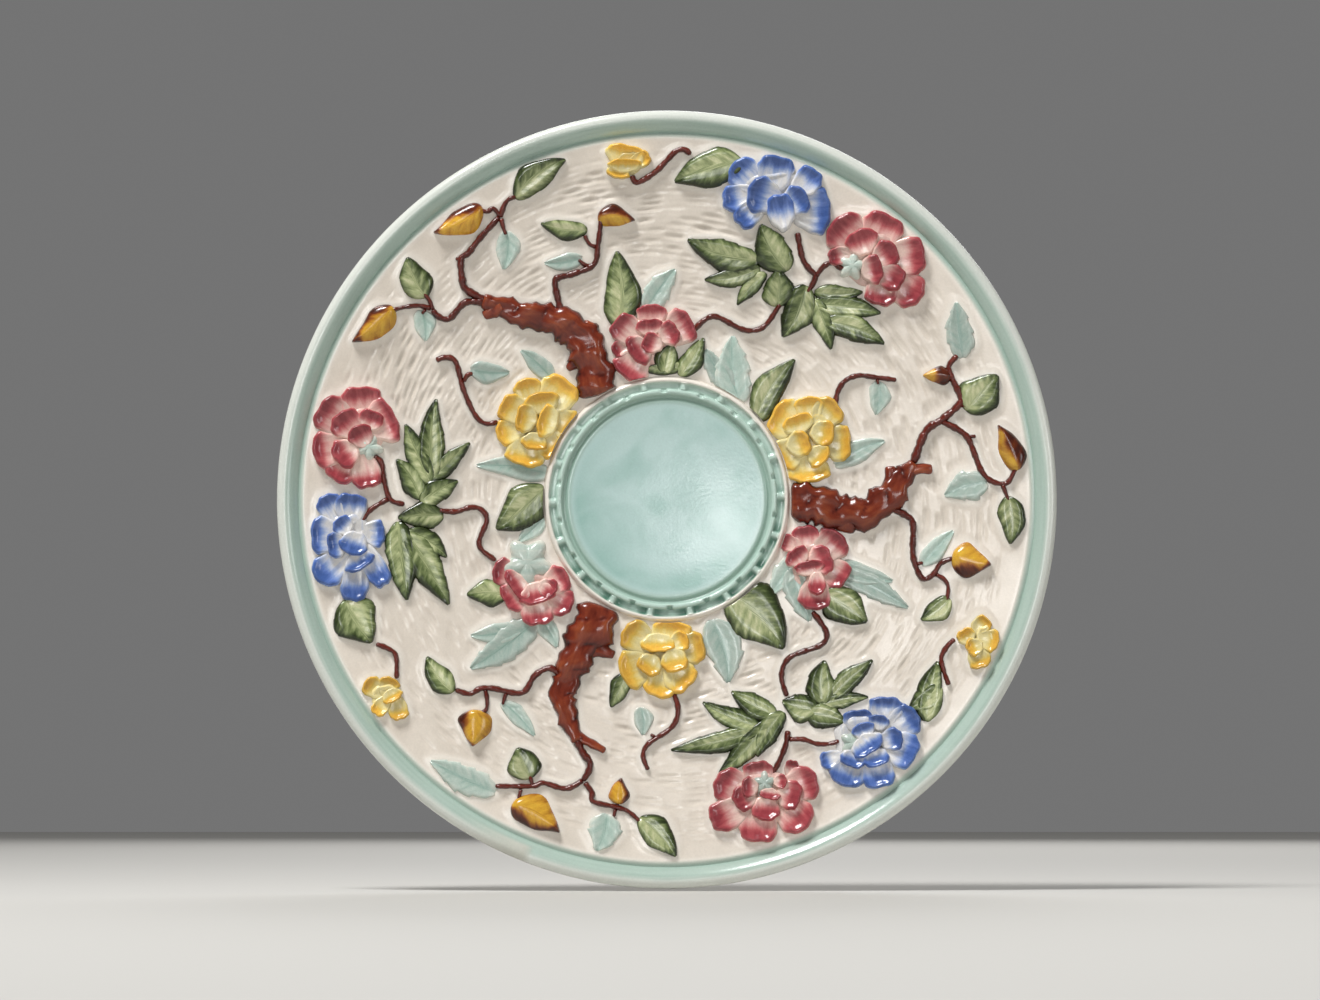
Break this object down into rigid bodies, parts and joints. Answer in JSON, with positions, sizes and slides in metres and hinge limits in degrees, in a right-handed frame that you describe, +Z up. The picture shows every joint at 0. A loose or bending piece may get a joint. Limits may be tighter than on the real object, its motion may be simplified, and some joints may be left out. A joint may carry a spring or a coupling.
{
  "type": "decorative wall plaque",
  "caption": "Round dished earthenware wall plaque with a moulded and painted relief of flowering trees round a plain pale blue-green well.",
  "frame": {"origin": "middle of the top of the foot ring's flat back face, where the plaque bears on the wall", "axes": "+Z up, +Y into the wall, so the decorated front faces -Y; the plaque's centre is straight below the origin"},
  "size_m": [0.36, 0.031, 0.36],
  "materials": {
    "glazed_earthenware": "cream earthenware, painted underglaze in green, blue-green, brown, pink, blue and yellow, clear gloss glaze"
  },
  "bodies": {
    "root": {"plaque": "glazed_earthenware"}
  },
  "joints": []
}
